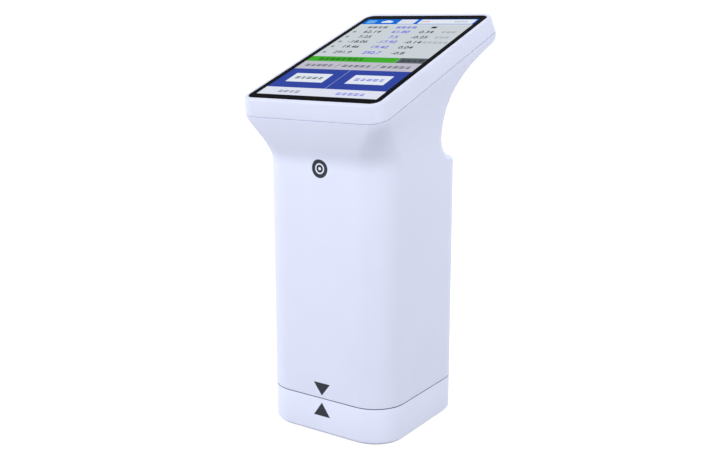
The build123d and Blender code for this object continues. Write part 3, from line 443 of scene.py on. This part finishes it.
for node, body, slot, width, material in (
    ("main_housing", "meter", "shell_white", 0.12, body_white),
    ("upper_shell", "meter", "shell_white", 0.12, body_white),
    ("calibration_cap", "cap", "shell_white", 0.12, body_white),
    ("measuring_key", "measuring_key", "key_grey", 0.15, key_grey),
    ("power_key", "power_key", "key_grey", 0.12, key_grey),
    ("usb_socket", "meter", "steel", 0.05, steel),
):
    finish(node, body, slot, width, material)


# Geometry trees: a solid or nothing goes in, with named sizes, and a plain mesh comes out
SIZE_KINDS = {int: "NodeSocketInt", float: "NodeSocketFloat"}


def grown(name, body, slot, material, build, base=None, place=Matrix(), **sizes):
    tree = bpy.data.node_groups.new(name, "GeometryNodeTree")
    new_socket = tree.interface.new_socket
    new_socket("Base", in_out="INPUT", socket_type="NodeSocketGeometry")
    named = {}
    for label, size in sizes.items():
        kind = SIZE_KINDS[type(size)]
        named[label] = new_socket(label, in_out="INPUT", socket_type=kind).identifier
    new_socket("Result", in_out="OUTPUT", socket_type="NodeSocketGeometry")
    entry = tree.nodes.new("NodeGroupInput")
    given = {port.name: Socket(tree, port) for port in entry.outputs if port.name}
    result = build(given.pop("Base"), **given)
    whole = result.node("GeometryNodeRealizeInstances", {0: result})
    dressed = whole.node("GeometryNodeSetMaterial", {0: whole, "Material": material})
    tree.links.new(dressed.socket, tree.nodes.new("NodeGroupOutput").inputs[0])
    seed = bpy.data.objects.new(name + "_seed", base or bpy.data.meshes.new(name + "_seed"))
    bpy.context.scene.collection.objects.link(seed)
    growth = seed.modifiers.new("growth", "NODES")
    growth.node_group = tree
    for label, size in sizes.items():
        growth[named[label]] = size
    graph = bpy.context.evaluated_depsgraph_get()
    mesh = bpy.data.meshes.new_from_object(seed.evaluated_get(graph))
    bpy.data.objects.remove(seed)
    mesh.name = name
    mesh.transform(place)
    return link(name, mesh, body, slot)


def vector(start, *axes):
    return start.node("ShaderNodeCombineXYZ", dict(enumerate(axes)))


def joined(first, *others):
    made = first.node("GeometryNodeJoinGeometry", {0: first})
    for other in others:
        made.tree.links.new(other.socket, made.socket.node.inputs[0])
    return made


def moved(shape, shift):
    return shape.node("GeometryNodeTransform", {"Geometry": shape, "Translation": shift})


# Copies of a shape in a row, from a first place on
def row(shape, count, step, first):
    points = shape.node(
        "GeometryNodeMeshLine", {"Count": count, "Start Location": first, "Offset": step}
    )
    return shape.node("GeometryNodeInstanceOnPoints", {"Points": points, "Instance": shape})


# Copies of a shape in a block of rows, centred
def block(shape, across, along, pitch_u, pitch_v):
    first = vector(shape, (across - 1) * pitch_u * -0.5, (along - 1) * pitch_v * -0.5, 0.0)
    rank = row(shape, across, vector(shape, pitch_u, 0.0, 0.0), first)
    return row(rank, along, vector(shape, 0.0, pitch_v, 0.0), (0, 0, 0))


# Foot pad: the plate stands on small round studs, which keep clear of its edge and rounded corners
PAD_STUD_HEIGHT, PAD_STUD_RADIUS, PAD_STUD_TAPER = 0.25, 0.75, 0.8
PAD_STUD_LINES, PAD_STUD_PITCH = 21, 2.3
PAD_MARGIN, PAD_CORNER = 1.2, 8.0


def studded_pad(plate, pitch, radius, height, reach, corner):
    span = pitch * (PAD_STUD_LINES - 1)
    grid = plate.node("GeometryNodeMeshGrid", {
        "Size X": span, "Size Y": span,
        "Vertices X": PAD_STUD_LINES, "Vertices Y": PAD_STUD_LINES,
    })
    x, y, z = [axis.math("ABSOLUTE") for axis in plate.node("GeometryNodeInputPosition").axes()]
    past_x = (x - (reach - corner)).math("MAXIMUM", 0.0)
    past_y = (y - (reach - corner)).math("MAXIMUM", 0.0)
    inside = (corner - (past_x * past_x + past_y * past_y).math("SQRT")).math("GREATER_THAN", 0.0)
    stud = plate.node("GeometryNodeMeshCone", {
        "Vertices": 12, "Radius Top": radius, "Radius Bottom": radius * PAD_STUD_TAPER, "Depth": height,
    })
    studs = plate.node(
        "GeometryNodeInstanceOnPoints", {"Points": grid, "Selection": inside, "Instance": stud}
    )
    return joined(plate, studs)


def foot_pad():
    low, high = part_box("foot_pad")
    plate, mesh = merged_copy("foot_pad", "foot_pad_plate")
    for vertex in mesh.verts:
        vertex.co.z = max(vertex.co.z, low[2] + PAD_STUD_HEIGHT * MM)
    mesh.to_mesh(plate)
    mesh.free()
    pad = grown(
        "foot_pad_studded", "cap", "rubber_dark", pad_rubber, studded_pad, base=plate,
        pitch=PAD_STUD_PITCH * MM, radius=PAD_STUD_RADIUS * MM, height=PAD_STUD_HEIGHT * MM,
        reach=high[0] - PAD_MARGIN * MM, corner=PAD_CORNER * MM,
    )
    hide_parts("foot_pad")


# Charging socket: gold contacts on both sides of the tongue
def contact_rows(none, count, pitch, width, length, thickness, face):
    pad = none.node("GeometryNodeMeshCube", {"Size": vector(none, width, length, thickness)})
    first = (count - 1) * pitch * -0.5
    step = vector(none, pitch, 0.0, 0.0)
    rows = [row(pad, count, step, vector(none, first, 0.0, face * side)) for side in (-1, 1)]
    return joined(*rows)


def socket_contacts():
    low, high = [Vector(corner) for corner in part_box("usb_tongue")]
    grown(
        "socket_contacts", "meter", "steel", contact_gold, contact_rows,
        place=Matrix.Translation((low + high) / 2),
        count=12, pitch=0.5 * MM, width=0.28 * MM, length=4.2 * MM, thickness=0.04 * MM,
        face=(high.z - low.z) / 2,
    )


# Power key: rounded ribs across it, for the fingertip
def rib_row(none, count, pitch, radius, length):
    half = length * 0.5
    spine = none.node(
        "GeometryNodeCurvePrimitiveLine",
        {"Start": vector(none, 0.0, half * -1, 0.0), "End": vector(none, 0.0, half, 0.0)},
    )
    ring = none.node("GeometryNodeCurvePrimitiveCircle", {"Resolution": 12, "Radius": radius})
    bar = none.node(
        "GeometryNodeCurveToMesh", {"Curve": spine, "Profile Curve": ring, "Fill Caps": True}
    )
    first = (count - 1) * pitch * -0.5
    return row(bar, count, vector(none, 0.0, 0.0, pitch), vector(none, 0.0, 0.0, first))


def power_key_ribs():
    low, high = [Vector(corner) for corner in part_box("power_key")]
    middle, sunk = (low + high) / 2, 0.12 * MM
    grown(
        "power_key_ribs", "power_key", "key_grey", key_grey, rib_row,
        place=Matrix.Translation((low.x + sunk, middle.y, middle.z)),
        count=5, pitch=1.3 * MM, radius=0.28 * MM, length=2.4 * MM,
    )


# Small chip capacitors in rows on the boards: a ceramic body between two tinned ends
CAPACITOR = {"length": 1.6 * MM, "width": 0.8 * MM, "height": 0.7 * MM}
CAPACITOR_PITCH = {"pitch_u": 2.4 * MM, "pitch_v": 1.7 * MM}
END_SHARE, BODY_SHARE, BODY_WIDTH_SHARE, BODY_HEIGHT_SHARE = 0.25, 0.5, 0.94, 0.92
MAIN_BOARD_BACK = -8.45


def capacitor_ends(none, across, along, pitch_u, pitch_v, length, width, height):
    end = none.node("GeometryNodeMeshCube", {"Size": vector(none, length * END_SHARE, width, height)})
    offset = length * ((1 - END_SHARE) / 2)
    ends = [moved(end, vector(none, offset * side, 0.0, 0.0)) for side in (-1, 1)]
    return block(joined(*ends), across, along, pitch_u, pitch_v)


def capacitor_bodies(none, across, along, pitch_u, pitch_v, length, width, height):
    size = vector(none, length * BODY_SHARE, width * BODY_WIDTH_SHARE, height * BODY_HEIGHT_SHARE)
    part = none.node("GeometryNodeMeshCube", {"Size": size})
    return block(part, across, along, pitch_u, pitch_v)


def small_parts():
    ceramic = moulded("capacitor_ceramic", linear(166, 128, 96), 0.5)
    half = CAPACITOR["height"] / 2
    upright = Matrix.Rotation(math.radians(-90), 4, "X")
    control_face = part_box("control_board")[1][1]
    main_face = MAIN_BOARD_BACK * MM
    for name, place, across, along in (
        ("main_left", HEAD @ Matrix.Translation((-15.5 * MM, -8.0 * MM, main_face - half)), 3, 9),
        ("main_right", HEAD @ Matrix.Translation((15.5 * MM, -12.0 * MM, main_face - half)), 3, 12),
        ("control", Matrix.Translation((13.4 * MM, control_face + half, 77.0 * MM)) @ upright, 2, 10),
    ):
        sizes = {"across": across, "along": along, **CAPACITOR_PITCH, **CAPACITOR}
        grown(
            name + "_capacitor_ends", "meter", "steel", nickel, capacitor_ends, place=place, **sizes
        )
        grown(
            name + "_capacitor_bodies", "meter", "chip_black", ceramic, capacitor_bodies, place=place,
            **sizes,
        )


# Crosses in the heads of the four base screws, as dark bars of painted shade that stand for the shadowed
# recesses
SCREW_HEAD = 4.6


def crosses(none, count, pitch_x, pitch_y, arm, width, depth):
    bars = [
        none.node("GeometryNodeMeshCube", {"Size": vector(none, *size)})
        for size in ((arm, width, depth), (width, arm, depth))
    ]
    return block(joined(*bars), count, count, pitch_x, pitch_y)


def screw_crosses():
    low, high = [Vector(corner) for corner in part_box("base_screws")]
    head = SCREW_HEAD * MM
    # Painted shade: the dark bars stand in for the shadow inside the cross recesses
    grown(
        "screw_crosses", "meter", "inner_black", inner_black, crosses,
        place=Matrix.Translation((0, 0, low.z + 0.04 * MM)),
        count=2, pitch_x=high.x - low.x - head, pitch_y=high.y - low.y - head,
        arm=2.6 * MM, width=0.5 * MM, depth=0.1 * MM,
    )


foot_pad()
socket_contacts()
power_key_ribs()
small_parts()
screw_crosses()


# Cover glass: a black printed border round a clear window
WINDOW_HALF_U, WINDOW_HALF_V, WINDOW_SHIFT, WINDOW_EDGE = 24.45, 36.7, 0.17, 0.02
GLASS_GLOSS, GLASS_FILM = 0.002, 0.04


def glass_material():
    material, principled, place = new_material("cover_glass", Specular_IOR_Level=GLASS_GLOSS)
    local = place.node("ShaderNodeMapping", {
        "Vector": place,
        "Location": HEAD_BACK.to_translation(),
        "Rotation": HEAD_BACK.to_euler(),
    })
    u, v = local.axes()[:2]
    outside_u = u.math("ABSOLUTE").above(WINDOW_HALF_U * MM, WINDOW_EDGE * MM)
    outside_v = (v + WINDOW_SHIFT * MM).math("ABSOLUTE").above(WINDOW_HALF_V * MM, WINDOW_EDGE * MM)
    border = outside_u.math("MAXIMUM", outside_v)
    smear = noise(place, 45.0, 3.0)
    plug(smear.mix(linear(11, 11, 14), linear(17, 17, 21)), principled, "Base Color")
    plug(smear * 0.05 + 0.04, principled, "Roughness")
    plug(border * (1 - GLASS_FILM) + GLASS_FILM, principled, "Alpha")
    return material


cad["cover_glass"].data.materials.clear()
cad["cover_glass"].data.materials.append(glass_material())


# The lit picture: its material glows in the colours of the fields, bars and numbers
def picture_material():
    material, principled, place = new_material(
        "screen_picture", Roughness=0.4, Base_Color=(0, 0, 0, 1),
        Specular_IOR_Level=0.0, Emission_Strength=1.0,
    )
    colour = place.node("ShaderNodeAttribute", attribute_name="tint")
    deep = place.node("ShaderNodeHueSaturation", {"Color": colour, "Value": 0.97})
    plug(noise(place, 3000.0).mix(deep, colour), principled, "Emission Color")
    return material


# Depth of the picture under the glass, the step from one layer of it to the next, and how far the
# strokes of the numbers are thickened, in mm
PICTURE_DEPTH, LEVEL, NUMBER_WEIGHT = 0.16, 0.004, 0.06
BLUE, NAVY, GREEN = (24, 112, 220), (54, 74, 166), (70, 176, 50)
TABLE, SLATE, LILAC = (208, 216, 222), (92, 100, 108), (198, 196, 210)
PAPER, INK, VIOLET = (232, 238, 248), (52, 58, 66), (86, 84, 226)
FAINT, LEAF, ROSE = (166, 174, 180), (40, 104, 30), (226, 130, 120)
DUSK, SKY, MAUVE = (104, 106, 118), (108, 176, 240), (206, 190, 204)


class Picture:
    def __init__(self):
        self.mesh = bmesh.new()
        self.tint = self.mesh.loops.layers.float_color.new("tint")

    def outline(self, points, colour, level):
        h = LEVEL * level - PICTURE_DEPTH
        corners = [self.mesh.verts.new(HEAD @ (Vector((u, v, h)) * MM)) for u, v in points]
        face = self.mesh.faces.new(corners)
        for loop in face.loops:
            loop[self.tint] = linear(*colour)

    def field(self, left, low, right, high, colour, level=1, corner=0.0):
        if not corner:
            self.outline([(left, low), (right, low), (right, high), (left, high)], colour, level)
            return
        points = []
        for turn, (u, v) in enumerate((
            (right - corner, low + corner), (right - corner, high - corner),
            (left + corner, high - corner), (left + corner, low + corner),
        )):
            for step in range(5):
                bend = math.radians(90 * (turn - 1) + 90 / 4 * step)
                points.append((u + corner * math.cos(bend), v + corner * math.sin(bend)))
        self.outline(points, colour, level)

    # Two lines of short blocks stand where the words were
    def blocks(self, middle, v, count, size, colour, level=3):
        pitch = size * 1.16
        for step in range(count):
            u = middle + (step - (count - 1) / 2) * pitch
            half = size * (0.46 if (step * 7 + count) % 3 else 0.36)
            self.field(u - half, v - size * 0.46, u + half, v - size * 0.06, colour, level)
            self.field(u - half, v + size * 0.1, u + half, v + size * 0.44, colour, level)

    def number(self, body, middle, v, height, colour, level=3):
        curve = bpy.data.curves.new("number", "FONT")
        curve.body, curve.size = body, height * 1.38
        curve.align_x, curve.align_y = "CENTER", "CENTER"
        curve.resolution_u, curve.offset = 3, NUMBER_WEIGHT
        text = bpy.data.objects.new("number", curve)
        bpy.context.scene.collection.objects.link(text)
        graph = bpy.context.evaluated_depsgraph_get()
        flat = bpy.data.meshes.new_from_object(text.evaluated_get(graph))
        bpy.data.objects.remove(text)
        h = LEVEL * level - PICTURE_DEPTH
        known = len(self.mesh.verts)
        self.mesh.from_mesh(flat)
        self.mesh.verts.ensure_lookup_table()
        for vertex in self.mesh.verts[known:]:
            x, y = vertex.co.x + middle, vertex.co.y + v
            vertex.co = HEAD @ (Vector((x, y, h)) * MM)
            for loop in vertex.link_loops:
                loop[self.tint] = linear(*colour)
        bpy.data.meshes.remove(flat)

    def finish(self):
        data = bpy.data.meshes.new("screen_picture")
        self.mesh.normal_update()
        self.mesh.to_mesh(data)
        self.mesh.free()
        link("screen_picture", data, "meter", "panel_black", picture_material())


# Edges of the picture and of its bands from the top down, and the middles of the table's columns, in
# mm in the head frame, as are the places in the functions below
LEFT, RIGHT = -24.48, 24.48
TOP, HEADER_FOOT, TABLE_HEAD = 36.55, 31.0, 29.9
RESULT_HEAD, RESULT_FOOT, CHOICE_FOOT, BUTTON_FOOT, BOTTOM = -2.3, -6.9, -14.1, -30.4, -36.89
COLUMN_MARK, COLUMN_FIRST, COLUMN_SECOND, COLUMN_CHANGE, COLUMN_NOTE = -22.2, -14.2, -1.6, 9.4, 18.6
TITLE_V, READING_HEIGHT = 27.6, 2.5

# Height of each row, its two readings and their difference, and the blocks of the note behind it
ROWS = (
    (22.8, "62.14", "61.80", "0.34", 3),
    (17.5, "7.25", "7.5", "-0.25", 3),
    (12.5, "-18.06", "-17.92", "-0.14", 5),
    (7.4, "19.46", "19.42", "0.04", 0),
    (1.9, "291.9", "292.7", "-0.8", 0),
)


# Header: a menu key, a cloud of three rounded fields, and two tabs
def draw_header(picture):
    picture.field(LEFT, HEADER_FOOT, RIGHT, TOP, BLUE)
    picture.field(-23.2, 32.0, -19.2, 35.4, SKY, 2, 0.6)
    for u, size in ((-15.4, 1.0), (-14.0, 1.45), (-12.5, 1.1)):
        picture.field(u - size, 32.5, u + size, 32.5 + 1.9 * size, PAPER, 2 + size, 0.8 * size)
    picture.field(-8.6, 31.5, -1.3, 36.1, PAPER, 2, 0.3)
    picture.blocks(-5.0, 33.8, 4, 1.2, MAUVE)
    picture.field(0.4, 31.5, 23.6, 36.1, PAPER, 2, 0.3)
    picture.blocks(3.0, 33.8, 3, 1.1, ROSE)
    picture.blocks(18.0, 33.8, 4, 1.2, FAINT)
    picture.field(13.4, 33.6, 13.8, 34.0, FAINT, 3)


def draw_table(picture):
    picture.field(LEFT, TABLE_HEAD, RIGHT, HEADER_FOOT, (222, 228, 232))
    picture.blocks(-14.6, TITLE_V, 4, 2.0, INK)
    picture.blocks(-1.8, TITLE_V, 4, 2.0, VIOLET)
    picture.field(9.0, TITLE_V - 0.9, 11.2, TITLE_V + 0.9, INK, 3)
    for v, first, second, change, note in ROWS:
        picture.blocks(COLUMN_MARK, v, 1, 1.5, SLATE)
        picture.number(first, COLUMN_FIRST, v, READING_HEIGHT, INK)
        picture.number(second, COLUMN_SECOND, v, READING_HEIGHT, VIOLET)
        picture.number(change, COLUMN_CHANGE, v, READING_HEIGHT, INK)
        picture.blocks(COLUMN_NOTE, v, note, 1.8, FAINT)


# Result bar: green as far as its pale end stroke, slate beyond
def draw_result(picture):
    stroke, bar_end = 13.0, 13.4
    middle = (RESULT_HEAD + RESULT_FOOT) / 2
    picture.field(LEFT, RESULT_FOOT, stroke, RESULT_HEAD, GREEN)
    picture.blocks(-10.4, middle, 8, 2.1, LEAF)
    picture.field(stroke, RESULT_FOOT, bar_end, RESULT_HEAD, (120, 196, 104), 2)
    picture.field(bar_end, RESULT_FOOT, RIGHT, RESULT_HEAD, SLATE)
    picture.blocks(19.0, middle, 4, 2.0, (58, 64, 70))


# Strip of three choices, parted by slanted strokes
def draw_choices(picture):
    picture.field(LEFT, CHOICE_FOOT, RIGHT, RESULT_FOOT, LILAC)
    for middle in (-16.0, 0.0, 16.0):
        picture.blocks(middle, -10.6, 5, 2.1, DUSK)
    for u in (-8.0, 8.0):
        stroke = [(u - 0.9, -12.2), (u - 0.5, -12.2), (u + 0.9, -8.8), (u + 0.5, -8.8)]
        picture.outline(stroke, DUSK, 3)


def draw_buttons(picture):
    picture.field(LEFT, BUTTON_FOOT, RIGHT, CHOICE_FOOT, NAVY)
    picture.field(-0.14, BUTTON_FOOT, 0.14, CHOICE_FOOT, (150, 164, 220), 2)
    picture.field(-20.2, -25.6, -4.6, -18.2, PAPER, 2, 0.25)
    picture.field(4.7, -25.6, 20.0, -18.2, PAPER, 2, 0.25)
    picture.blocks(-12.4, -21.9, 5, 2.1, (96, 102, 112))
    picture.blocks(12.4, -21.9, 5, 2.1, (132, 134, 226))


def draw_foot(picture):
    picture.field(LEFT, BOTTOM, RIGHT, BUTTON_FOOT, (228, 232, 248))
    picture.blocks(-12.6, -33.7, 4, 2.0, (150, 154, 162))
    picture.blocks(12.4, -33.7, 5, 2.0, (140, 140, 228))


picture = Picture()
picture.field(LEFT, BOTTOM, RIGHT, TOP, TABLE, 0)
for draw in (draw_header, draw_table, draw_result, draw_choices, draw_buttons, draw_foot):
    draw(picture)
picture.finish()


# Studio: square soft lamps one metre away, each with its azimuth, elevation and power
LAMPS = (
    ("key", -14, 16, 5.9),
    ("side", 90, 5, 6.2),
    ("edge", -75, 5, 3.8),
    ("back", 180, 35, 3.0),
)
LAMP_SIZE, AIM_HEIGHT = 0.8, 0.07
FLOOR_GREY, FLOOR_GLOW, FLOOR_MATT, SKY_GREY = 0.32, 0.82, 0.5, 0.54


def lamp(name, azimuth, elevation, power):
    around, up = math.radians(azimuth), math.radians(elevation)
    aim = Vector((0, 0, AIM_HEIGHT))
    away = Vector((
        math.sin(around) * math.cos(up),
        -math.cos(around) * math.cos(up),
        math.sin(up),
    ))
    data = bpy.data.lights.new(name, "AREA")
    data.size, data.energy = LAMP_SIZE, power
    light = bpy.data.objects.new(name, data)
    bpy.context.scene.collection.objects.link(light)
    light.location = aim + away
    light.rotation_mode = "QUATERNION"
    light.rotation_quaternion = (-away).to_track_quat("-Z", "Y")
    light.visible_camera = False


def grey(level):
    return (level, level, level, 1)


# Rays that show the background: to the camera, in reflections and through glass
def seen_rays(start):
    ports = start.node("ShaderNodeLightPath").socket.node.outputs
    seen = [Socket(start.tree, ports[f"Is {kind} Ray"]) for kind in ("Camera", "Glossy", "Transmission")]
    return (seen[0] + seen[1] + seen[2]).math("MINIMUM", 1.0)


# The floor gives little light back, and shows white to the camera and in reflections
def floor_material():
    material, principled, place = new_material("floor", Roughness=0.9, Base_Color=grey(FLOOR_GREY))
    tree = material.node_tree
    glow = place.node("ShaderNodeEmission", {"Color": grey(1), "Strength": FLOOR_GLOW})
    matt = place.node("ShaderNodeBsdfDiffuse", {"Color": grey(FLOOR_MATT)})
    paper = place.node("ShaderNodeAddShader", {0: glow, 1: matt})
    dim = Socket(tree, principled.outputs[0])
    shown = place.node("ShaderNodeMixShader", {0: seen_rays(place), 1: dim, 2: paper})
    tree.links.new(shown.socket, tree.nodes["Material Output"].inputs[0])
    return material


def lay_floor():
    mesh = bmesh.new()
    bmesh.ops.create_grid(mesh, x_segments=2, y_segments=2, size=3)
    data = bpy.data.meshes.new("floor")
    mesh.to_mesh(data)
    mesh.free()
    floor = bpy.data.objects.new("floor", data)
    bpy.context.scene.collection.objects.link(floor)
    data.materials.append(floor_material())


def light_sky():
    world = bpy.data.worlds.new("studio")
    bpy.context.scene.world = world
    world.use_nodes = True
    tree = world.node_tree
    sky = tree.nodes["Background"]
    tone = seen_rays(Socket(tree, sky.outputs[0])).mix(grey(SKY_GREY), grey(1))
    tree.links.new(tone.socket, sky.inputs["Color"])


make_camera()
lay_floor()
light_sky()
for settings in LAMPS:
    lamp(*settings)
bpy.context.scene.view_settings.view_transform = "Standard"
